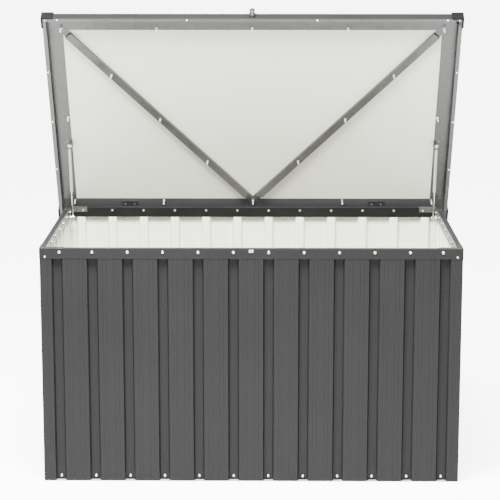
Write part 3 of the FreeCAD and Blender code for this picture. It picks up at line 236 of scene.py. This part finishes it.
grain = bpy.data.node_groups.new("coat grain", "ShaderNodeTree")
grain.interface.new_socket("Place", in_out="INPUT", socket_type="NodeSocketVector")
for label, value in (("Patches", 4.0), ("Grain", 900.0), ("Patch Share", 0.5)):
    socket = grain.interface.new_socket(label, in_out="INPUT", socket_type="NodeSocketFloat")
    socket.default_value = value
for label in ("Tone", "Height"):
    grain.interface.new_socket(label, in_out="OUTPUT", socket_type="NodeSocketFloat")
given = grain.nodes.new("NodeGroupInput")
patches = grain.nodes.new("ShaderNodeTexNoise")
patches.inputs["Detail"].default_value = 3
specks = grain.nodes.new("ShaderNodeTexNoise")
specks.inputs["Detail"].default_value = 2
blend = grain.nodes.new("ShaderNodeMix")
put = grain.nodes.new("NodeGroupOutput")
for start, end in ((given.outputs["Place"], patches.inputs["Vector"]),
                   (given.outputs["Place"], specks.inputs["Vector"]),
                   (given.outputs["Patches"], patches.inputs["Scale"]),
                   (given.outputs["Grain"], specks.inputs["Scale"]),
                   (given.outputs["Patch Share"], blend.inputs["Factor"]),
                   (specks.outputs["Fac"], blend.inputs["A"]),
                   (patches.outputs["Fac"], blend.inputs["B"]),
                   (blend.outputs["Result"], put.inputs["Tone"]),
                   (specks.outputs["Fac"], put.inputs["Height"])):
    grain.links.new(start, end)


def coated(name, pattern, values, dark, light, gloss, relief, metal=0.0, specular=0.5):
    """A finish whose colour, roughness and relief all follow one surface pattern."""
    material = bpy.data.materials.new(name)
    material.use_nodes = True
    nodes, links = material.node_tree.nodes, material.node_tree.links
    shader = nodes["Principled BSDF"]
    shader.inputs["Metallic"].default_value = metal
    shader.inputs["Specular IOR Level"].default_value = specular
    where = nodes.new("ShaderNodeTexCoord")
    surface = nodes.new("ShaderNodeGroup")
    surface.node_tree = pattern
    for label, value in values.items():
        surface.inputs[label].default_value = value
    colour = nodes.new("ShaderNodeMix")
    colour.data_type = "RGBA"
    colour.inputs["A"].default_value = (*dark, 1)
    colour.inputs["B"].default_value = (*light, 1)
    sheen = nodes.new("ShaderNodeMapRange")
    sheen.inputs["From Min"].default_value = 0.3
    sheen.inputs["From Max"].default_value = 0.7
    sheen.inputs["To Min"].default_value = gloss[0]
    sheen.inputs["To Max"].default_value = gloss[1]
    bump = nodes.new("ShaderNodeBump")
    bump.inputs["Strength"].default_value = 0.6
    bump.inputs["Distance"].default_value = relief * MM
    for start, end in ((where.outputs["Object"], surface.inputs["Place"]),
                       (surface.outputs["Tone"], colour.inputs["Factor"]),
                       (colour.outputs["Result"], shader.inputs["Base Color"]),
                       (surface.outputs["Tone"], sheen.inputs["Value"]),
                       (sheen.outputs["Result"], shader.inputs["Roughness"]),
                       (surface.outputs["Height"], bump.inputs["Height"]),
                       (bump.outputs["Normal"], shader.inputs["Normal"])):
        links.new(start, end)
    return material


anthracite = coated("anthracite coil paint", grain,
                    {"Patches": 5.0, "Grain": 1100.0, "Patch Share": 0.6},
                    (0.008, 0.008, 0.0081), (0.0142, 0.0142, 0.0144), (0.42, 0.54), 0.03,
                    specular=0.15)
off_white = coated("off-white coil paint", grain,
                   {"Patches": 4.0, "Grain": 900.0, "Patch Share": 0.7},
                   (0.73, 0.73, 0.635), (0.8, 0.8, 0.7), (0.42, 0.55), 0.03)

WALLS = {"front": (0, (0, -BODY_DEPTH / 2), BODY_WIDTH),
         "rear": (180, (0, BODY_DEPTH / 2), BODY_WIDTH),
         "left": (-90, (-BODY_WIDTH / 2, 0), BODY_DEPTH),
         "right": (90, (BODY_WIDTH / 2, 0), BODY_DEPTH)}


def wall_place(side, along, inwards, height):
    """A point of a wall, given along it, inwards from its outer plane, and up."""
    angle, middle, _ = WALLS[side]
    spun = Matrix.Rotation(math.radians(angle), 2) @ Vector((along, inwards))
    return Vector((spun.x + middle[0], spun.y + middle[1], height)) * MM


for side, (_, _, length) in WALLS.items():
    count = round(length / GROOVE_PITCH)
    pitch = length / count
    half = length / 2 - CORNER_GAP - (0 if side in ("front", "rear") else SHEET)
    line = [(-half, FACE_DEPTH)]
    for groove in range(count + 1):
        flat = (groove - count / 2) * pitch
        for at in ROLL_LINES:
            if abs(flat + at) < half - ROLL_MARGIN:
                line += [(flat + at - ROLL_HALF, FACE_DEPTH),
                         (flat + at, FACE_DEPTH + ROLL_DEPTH),
                         (flat + at + ROLL_HALF, FACE_DEPTH)]
        if groove == count:
            continue
        middle = flat + pitch / 2
        far, crest, near = FLOOR_LINE
        line += [(middle - MOUTH_WIDTH / 2, FACE_DEPTH), (middle - FLOOR_WIDTH / 2, FLOOR_DEPTH),
                 (middle - far, FLOOR_DEPTH), (middle - crest, FLOOR_DEPTH - FLOOR_LINE_RISE),
                 (middle - near, FLOOR_DEPTH), (middle + near, FLOOR_DEPTH),
                 (middle + crest, FLOOR_DEPTH - FLOOR_LINE_RISE), (middle + far, FLOOR_DEPTH),
                 (middle + FLOOR_WIDTH / 2, FLOOR_DEPTH), (middle + MOUTH_WIDTH / 2, FACE_DEPTH)]
    line.append((half, FACE_DEPTH))
    wall = folded(f"{side}_wall", rounded(line, BEND), SHEET,
                  lambda point: (WALL_LOW, WALL_HIGH),
                  lambda edge, height, side=side: wall_place(side, edge.x, edge.y, height),
                  [anthracite, off_white])
    if side == "front":
        drilled(wall, wall_place(side, 0, 0, STRIKE_HEIGHT), Vector((0, 1, 0)), STRIKE_HOLE)
    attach(wall, "box")
    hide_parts(f"{side}_panel")

# Top rails: inverted channels of 1 mm steel, pressed over the walls' upper edges and bolted there.
# The front and rear ones are painted on both faces, their inner faces in a darker paint as painted
# shade, and their inner flanges stop short at the corners. The side ones fit between them and show
# bare galvanised steel inside the box.
RAIL_WIDTH, OUTER_FLANGE, INNER_FLANGE, RAIL_SHEET = 18, 33, 35, 1.0
SHORT_FROM, BARE_OR_SHADED_FROM = 16.5, 16.8

spangle = bpy.data.node_groups.new("zinc spangle", "ShaderNodeTree")
spangle.interface.new_socket("Place", in_out="INPUT", socket_type="NodeSocketVector")
for label, value in (("Crystals", 90.0), ("Streaks", 30.0)):
    socket = spangle.interface.new_socket(label, in_out="INPUT", socket_type="NodeSocketFloat")
    socket.default_value = value
for label in ("Tone", "Height"):
    spangle.interface.new_socket(label, in_out="OUTPUT", socket_type="NodeSocketFloat")
given = spangle.nodes.new("NodeGroupInput")
wander = spangle.nodes.new("ShaderNodeTexNoise")
wander.inputs["Scale"].default_value = 60
shift = spangle.nodes.new("ShaderNodeVectorMath")
shift.operation = "SCALE"
shift.inputs["Scale"].default_value = 0.006
moved = spangle.nodes.new("ShaderNodeVectorMath")
crystals = spangle.nodes.new("ShaderNodeTexVoronoi")
streaks = spangle.nodes.new("ShaderNodeTexNoise")
streaks.inputs["Detail"].default_value = 4
blend = spangle.nodes.new("ShaderNodeMix")
blend.inputs["Factor"].default_value = 0.55
put = spangle.nodes.new("NodeGroupOutput")
for start, end in ((given.outputs["Place"], wander.inputs["Vector"]),
                   (wander.outputs["Color"], shift.inputs[0]),
                   (given.outputs["Place"], moved.inputs[0]),
                   (shift.outputs["Vector"], moved.inputs[1]),
                   (moved.outputs["Vector"], crystals.inputs["Vector"]),
                   (given.outputs["Crystals"], crystals.inputs["Scale"]),
                   (given.outputs["Place"], streaks.inputs["Vector"]),
                   (given.outputs["Streaks"], streaks.inputs["Scale"]),
                   (crystals.outputs["Color"], blend.inputs["A"]),
                   (streaks.outputs["Fac"], blend.inputs["B"]),
                   (blend.outputs["Result"], put.inputs["Tone"]),
                   (streaks.outputs["Fac"], put.inputs["Height"])):
    spangle.links.new(start, end)

galvanised = coated("galvanised sheet", spangle, {"Crystals": 110.0, "Streaks": 25.0},
                    (0.09, 0.09, 0.088), (0.155, 0.155, 0.151), (0.3, 0.46), 0.05, metal=0.8)

# A darker copy of the rail paint for the inner faces of the front and rear rails: painted shade.
rail_inside_painted_shade = coated("rail paint darkened as painted shade", grain,
                     {"Patches": 5.0, "Grain": 1100.0, "Patch Share": 0.6},
                     (0.004, 0.004, 0.004), (0.008, 0.008, 0.0078), (0.38, 0.5), 0.03,
                     specular=0.15)

for side, (_, _, length) in WALLS.items():
    across = side in ("front", "rear")
    reach = length / 2 - (0 if across else RAIL_WIDTH)
    short = length / 2 - RAIL_WIDTH
    line = rounded([(RAIL_WIDTH, BODY_HEIGHT - INNER_FLANGE), (RAIL_WIDTH, BODY_HEIGHT),
                    (0, BODY_HEIGHT), (0, BODY_HEIGHT - OUTER_FLANGE)], BEND, steps=4)
    rail = folded(f"{side}_rail", line, RAIL_SHEET,
                  lambda point, reach=reach, short=short:
                  (-short, short) if point.x > SHORT_FROM else (-reach, reach),
                  lambda edge, along, side=side: wall_place(side, along, edge.x, edge.y),
                  [anthracite, rail_inside_painted_shade if across else galvanised])
    # Inner faces take the second finish: bare zinc on the side rails, and the darker paint that is
    # painted shade on the front and rear rails.
    for polygon in rail.data.polygons:
        middle = polygon.center / MM
        inwards = BODY_DEPTH / 2 - abs(middle.y) if across else BODY_WIDTH / 2 - abs(middle.x)
        if inwards > BARE_OR_SHADED_FROM:
            polygon.material_index = 1
    if side == "front":
        drilled(rail, wall_place(side, 0, 0, STRIKE_HEIGHT), Vector((0, 1, 0)), STRIKE_HOLE)
    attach(rail, "box")
    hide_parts(f"{side}_top_rail")

# Base rails, floor tray and corner posts: folded galvanised strips, a shallow tray, and angles
# of the painted sheet, mostly hidden behind the walls. Their edges are only broken by the shears.
WELD, FLAT_ANGLE = 0.002, 0.5


def softened(node, width, slots, side_of=None, sharp=30):
    """A piece of the frame, welded and with its edges rounded by a small width."""
    source = frame["nodes"][node]
    shape = bmesh.new()
    shape.from_mesh(source.data)
    bmesh.ops.remove_doubles(shape, verts=shape.verts, dist=WELD * MM)
    bmesh.ops.dissolve_limit(shape, angle_limit=math.radians(FLAT_ANGLE), verts=shape.verts,
                             edges=shape.edges, use_dissolve_boundaries=False)
    shape.verts.index_update()
    points = [vert.co.copy() for vert in shape.verts]
    faces = [([vert.index for vert in face.verts],
              side_of(face) if side_of else 0) for face in shape.faces]
    shape.free()
    piece = finished(f"{node}_piece", points, faces, slots, sharp)
    edge = piece.modifiers.new("edge", "BEVEL")
    edge.width = width * MM
    edge.segments = 2
    edge.limit_method = "ANGLE"
    edge.angle_limit = math.radians(sharp)
    piece.modifiers.move(1, 0)
    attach(piece, source["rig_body"])
    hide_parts(node)
    return piece


fresh_zinc = coated("fresh galvanised sheet", spangle, {"Crystals": 110.0, "Streaks": 25.0},
                    (0.42, 0.42, 0.415), (0.6, 0.6, 0.59), (0.32, 0.48), 0.05, metal=0.3)
for node in ("front_base_rail", "rear_base_rail", "left_base_rail", "right_base_rail"):
    softened(node, 0.25, [fresh_zinc])
for node in ("front_left_post", "front_right_post", "rear_left_post", "rear_right_post"):
    softened(node, 0.25, [off_white])
softened("floor_tray", 0.25, [galvanised])

# Corner brackets: galvanised angle plates that lie on the rails and tie each corner, held by the
# bolt nearest to the corner. Their broad top, the faces that point up, is painted a darker grey
# than the cut edges as painted shade.
bracket_top_painted_shade = coated("zinc darkened on top as painted shade", spangle, {"Crystals": 110.0, "Streaks": 25.0},
                   (0.014, 0.014, 0.0135), (0.028, 0.028, 0.027), (0.45, 0.6), 0.05, specular=0.1)
for node in ("front_left_bracket", "front_right_bracket", "rear_left_bracket",
             "rear_right_bracket"):
    # The faces that point up take the darker finish: painted shade.
    softened(node, 0.35, [galvanised, bracket_top_painted_shade],
                     lambda face: 1 if face.normal.z > 0.9 else 0)

# Lid skin: a shallow pan of the same two-tone sheet, folded down all round, with a narrow lip
# turned inwards at the front and sides, whose zinc is bare. It is drawn closed about the hinge
# axis, and the lock goes through a hole in its front skirt.
OPEN_ANGLE = math.radians(62)
AXIS = Vector((0, BODY_DEPTH / 2 + 4, BODY_HEIGHT - 14))
LID_HALF, LID_FRONT, LID_REAR = 684, 796, 28
LID_TOP, LIP_BOTTOM, SKIN_LIP, SKIN_BEND = 19.8, -12, 12, 1.7
FLAT_FROM, LIP_ZONE = 60, 2
LOCK_AXIS, LOCK_HOLE = 6, 9.5
to_open = Matrix.Rotation(-OPEN_ANGLE, 3, "X")


def lid_place(x, y, z):
    """A point of the open lid, given where it lies from the hinge axis with the lid closed."""
    return (to_open @ Vector((x, y, z)) + AXIS) * MM


line = rounded([(FLAT_FROM, LID_TOP), (0, LID_TOP), (0, LIP_BOTTOM), (SKIN_LIP, LIP_BOTTOM)],
               SKIN_BEND, steps=4)
outer = [point for point, normal in line]
inner = [point + normal * SHEET for point, normal in line]
points = []
for inset, height in outer + inner[::-1]:
    # At the rear the skirt ends straight, without a lip.
    back = min(inset, SHEET) if height < LIP_BOTTOM + LIP_ZONE else inset
    points += [lid_place(x * (LID_HALF - inset), y, height)
               for x, y in ((-1, -LID_FRONT + inset), (1, -LID_FRONT + inset),
                            (1, LID_REAR - back), (-1, LID_REAR - back))]
faces = [((0, 1, 2, 3), 0)]
rings = len(points) // 4
for ring in range(rings - 1):
    for i in range(4):
        a, b = 4 * ring + i, 4 * ring + (i + 1) % 4
        bare = ring in range(len(outer) - 2, len(outer) + 1)
        faces.append(((a, a + 4, b + 4, b), 2 if bare else 0 if ring < len(outer) else 1))
last = 4 * (rings - 1)
faces.append(((last + 3, last + 2, last + 1, last), 1))
skin = finished("lid_skin", points, faces, [anthracite, off_white, galvanised])
drilled(skin, lid_place(0, -LID_FRONT, LOCK_AXIS), to_open @ Vector((0, 1, 0)), LOCK_HOLE)
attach(skin, "lid")
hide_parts("lid_panel")

# Lid frame: four rails behind the skirt of the skin, with broad webs under it, galvanised at the
# front and sides and painted at the rear, over the hinges, in a paint lighter than the skin's as
# painted light. The two braces are galvanised channels with their flanges towards the skin, and
# flat tabs bolted to the front corners and rear rail.
for node in ("lid_front_rail", "lid_left_rail", "lid_right_rail"):
    softened(node, 0.3, [galvanised])
# A lighter copy of the anthracite paint for the lid's rear rail, which faces down into shade:
# painted light.
lid_rail_painted_light = coated("lid rail paint lightened as painted light", grain,
                        {"Patches": 5.0, "Grain": 1100.0, "Patch Share": 0.6},
                        (0.055, 0.055, 0.0545), (0.075, 0.075, 0.0745), (0.42, 0.54), 0.03,
                        specular=0.15)
softened("lid_rear_rail", 0.3, [lid_rail_painted_light])
for node in ("left_brace", "right_brace"):
    softened(node, 0.45, [galvanised])

# Corner caps: black polypropylene mouldings with rounded edges and a fine leather grain, pushed
# over the lid's corners, where they hook under the lip.
cap_plastic = coated("moulded black plastic", grain,
                     {"Patches": 12.0, "Grain": 1500.0, "Patch Share": 0.35},
                     (0.0025, 0.0025, 0.0026), (0.0055, 0.0055, 0.0057), (0.45, 0.6), 0.12,
                     specular=0.12)
for node in ("front_left_cap", "front_right_cap", "rear_left_cap", "rear_right_cap"):
    cap = softened(node, 1.2, [cap_plastic])
    cap.modifiers["edge"].segments = 4

# Bolts, screws, nuts, rivets and strike plate: bright zinc plate, gone dull on the box's nuts and
# on the rivets. Bolts and screws have pan heads with a cross recess, and stand in their own
# holes. The lid's bolts show a long threaded tail inside.
zinc = coated("bright zinc plate", grain, {"Patches": 60.0, "Grain": 2500.0, "Patch Share": 0.5},
              (0.82, 0.82, 0.81), (0.93, 0.93, 0.92), (0.2, 0.36), 0.02, metal=1.0)
AROUND = 24
CROSS_ARMS = 4
CROSS_DEPTH, CROSS_MIDDLE = 0.45, 0.25
THREAD_PITCH, THREAD_ROOT = 0.8, 0.84
THREAD_START, THREAD_STOP = 1.0, 1.2
TIP_LENGTH, TIP_SHARE = 0.5, 0.8
TURN_STEP = 2.4


def solids_of(node):
    """The separate solids of a frame node in a fixed order, as lists of points in millimetres."""
    shape = bmesh.new()
    shape.from_mesh(frame["nodes"][node].data)
    bmesh.ops.remove_doubles(shape, verts=shape.verts, dist=WELD * MM)
    waiting = set(shape.verts)
    solids = []
    for first in shape.verts:
        if first not in waiting:
            continue
        waiting.discard(first)
        queue, solid = [first], []
        while queue:
            vert = queue.pop()
            solid.append(vert.co / MM)
            for edge in vert.link_edges:
                other = edge.other_vert(vert)
                if other in waiting:
                    waiting.discard(other)
                    queue.append(other)
        solids.append(solid)
    shape.free()
    return solids


def head_and_end(solid, turn, centre):
    """Top of a bolt's head, its outward direction and its whole length."""
    flat = [turn.transposed() @ (point - centre) for point in solid]
    low = Vector([min(point[k] for point in flat) for k in range(3)])
    high = Vector([max(point[k] for point in flat) for k in range(3)])
    size, top = high - low, (low + high) / 2
    along = min(range(3), key=lambda k: abs(size[(k + 1) % 3] - size[(k + 2) % 3]))
    rim = max(flat, key=lambda point: sum((point[k] - top[k]) ** 2 for k in range(3)
                                          if k != along))
    outward = Vector((0, 0, 0))
    outward[along] = 1 if rim[along] > top[along] else -1
    top += outward * size[along] / 2
    return turn @ top + centre, turn @ outward, size[along]


def add_bolt(points, faces, top, outward, length, sizes, spin, threaded):
    """Adds one pan-head bolt, turned about its axis, to a shared mesh."""
    head_radius, head_height, shank = sizes
    # Each ring of the head: its radius, its depth below the top, and whether the cross sinks it.
    rings = [(0.01, 0, 0), (0.2, 0, 1), (0.34, 0.01, 1), (0.5, 0.04, 1), (0.56, 0.05, 0),
             (0.75, 0.16, 0), (0.9, 0.4, 0), (0.98, 0.7, 0), (1, 0.9, 0), (1, 1, 0)]
    profile = [(head_radius * r, -head_height * z, recess) for r, z, recess in rings]
    start, end = -head_height, -length
    profile.append((shank, start, 0))
    if threaded:
        step = start - THREAD_START
        while step > end + THREAD_STOP:
            profile += [(shank, step, 0), (shank * THREAD_ROOT, step - THREAD_PITCH / 2, 0)]
            step -= THREAD_PITCH
    profile += [(shank, end + TIP_LENGTH, 0), (shank * TIP_SHARE, end, 0), (0.01, end, 0)]
    across = outward.orthogonal().normalized()
    other = outward.cross(across)
    base = len(points)
    for radius, depth, recess in profile:
        for k in range(AROUND):
            turn = 2 * math.pi * k / AROUND
            on_arm = k % (AROUND // CROSS_ARMS) == 0
            if recess and (on_arm or radius < CROSS_MIDDLE * head_radius):
                sunk = depth - head_height * CROSS_DEPTH
            else:
                sunk = depth
            swing = turn + spin
            points.append((top + outward * sunk
                           + (across * math.cos(swing) + other * math.sin(swing)) * radius) * MM)
    for ring in range(len(profile) - 1):
        for k in range(AROUND):
            a = base + ring * AROUND + k
            b = base + ring * AROUND + (k + 1) % AROUND
            faces.append(((a, a + AROUND, b + AROUND, b), 0))


# Each fastener is given by its head's radius, its head's height and its shank's radius.
M5 = (4.8, 3, 2.5)
SHEET_SCREW = (3.6, 2.2, 1.9)
IN_BOX = (Matrix.Identity(3), Vector((0, 0, 0)))
IN_LID = (to_open, AXIS)
for node, (turn, centre), sizes, threaded in (
        ("rail_bolts", IN_BOX, M5, False), ("base_bolts", IN_BOX, M5, False),
        ("frame_screws", IN_BOX, SHEET_SCREW, False), ("lid_bolts", IN_LID, M5, True),
        ("brace_bolts", IN_LID, M5, True), ("lip_screws", IN_LID, SHEET_SCREW, False)):
    points, faces = [], []
    for number, solid in enumerate(solids_of(node)):
        top, outward, length = head_and_end(solid, turn, centre)
        add_bolt(points, faces, top, outward, length, sizes, number * TURN_STEP, threaded)
    bolts = finished(f"{node}_heads", points, faces, [zinc])
    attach(bolts, frame["nodes"][node]["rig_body"])
    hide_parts(node)
dull_zinc = coated("dull zinc plate", grain,
                   {"Patches": 50.0, "Grain": 2200.0, "Patch Share": 0.5},
                   (0.16, 0.16, 0.156), (0.26, 0.26, 0.255), (0.38, 0.5), 0.02, metal=0.5)
for node, coat in (("frame_nuts", dull_zinc), ("lid_nuts", zinc), ("hinge_rivets", dull_zinc),
                   ("lid_rivets", dull_zinc), ("strike_plate", zinc)):
    softened(node, 0.3, [coat])

# Hinges: black powder-coated steel leaves with rolled knuckles on a zinc-plated pin. The leaves
# are riveted to the rear rails of the box and the lid.
powder_black = coated("black powder coat", grain,
                      {"Patches": 20.0, "Grain": 1300.0, "Patch Share": 0.3},
                      (0.016, 0.016, 0.016), (0.028, 0.028, 0.028), (0.45, 0.62), 0.08)
for side in ("left", "right"):
    for leaf in ("box", "lid"):
        softened(f"{side}_hinge_{leaf}_leaf", 0.3, [powder_black])
    softened(f"{side}_hinge_pin", 0.3, [zinc])

# Gas struts: a chromed piston rod, a silver-grey lacquered tube and pressed eyes on studs, one
# strut at each side. Its bracket is bright zinc on the box and plain galvanised on the lid.
chrome = coated("hard chrome", grain, {"Patches": 30.0, "Grain": 1800.0, "Patch Share": 0.5},
                (0.6, 0.6, 0.61), (0.72, 0.72, 0.73), (0.06, 0.14), 0.005, metal=1.0)
tube_lacquer = coated("silver-grey lacquer", grain,
                      {"Patches": 14.0, "Grain": 1400.0, "Patch Share": 0.5},
                      (0.3, 0.3, 0.3), (0.4, 0.4, 0.4), (0.25, 0.38), 0.02)
for side in ("left", "right"):
    softened(f"{side}_strut_rod", 0.25, [chrome])
    softened(f"{side}_strut_cylinder", 0.4, [tube_lacquer])
    softened(f"{side}_strut_box_bracket", 0.3, [zinc])
    softened(f"{side}_strut_lid_bracket", 0.3, [galvanised])

# Push lock: a black die-cast housing through the front skirt of the lid, and a bright knob with
# a rounded disc that is pushed to free the bolt.
die_cast = coated("black die casting", grain,
                  {"Patches": 25.0, "Grain": 1600.0, "Patch Share": 0.4},
                  (0.015, 0.015, 0.016), (0.03, 0.03, 0.031), (0.3, 0.45), 0.03)
softened("lock_housing", 0.5, [die_cast])
satin = coated("satin nickel", grain, {"Patches": 30.0, "Grain": 1800.0, "Patch Share": 0.5},
               (0.22, 0.22, 0.222), (0.34, 0.34, 0.342), (0.2, 0.3), 0.01, metal=1.0)
knob = softened("lock_plunger", 1.2, [satin])
knob.modifiers["edge"].segments = 4
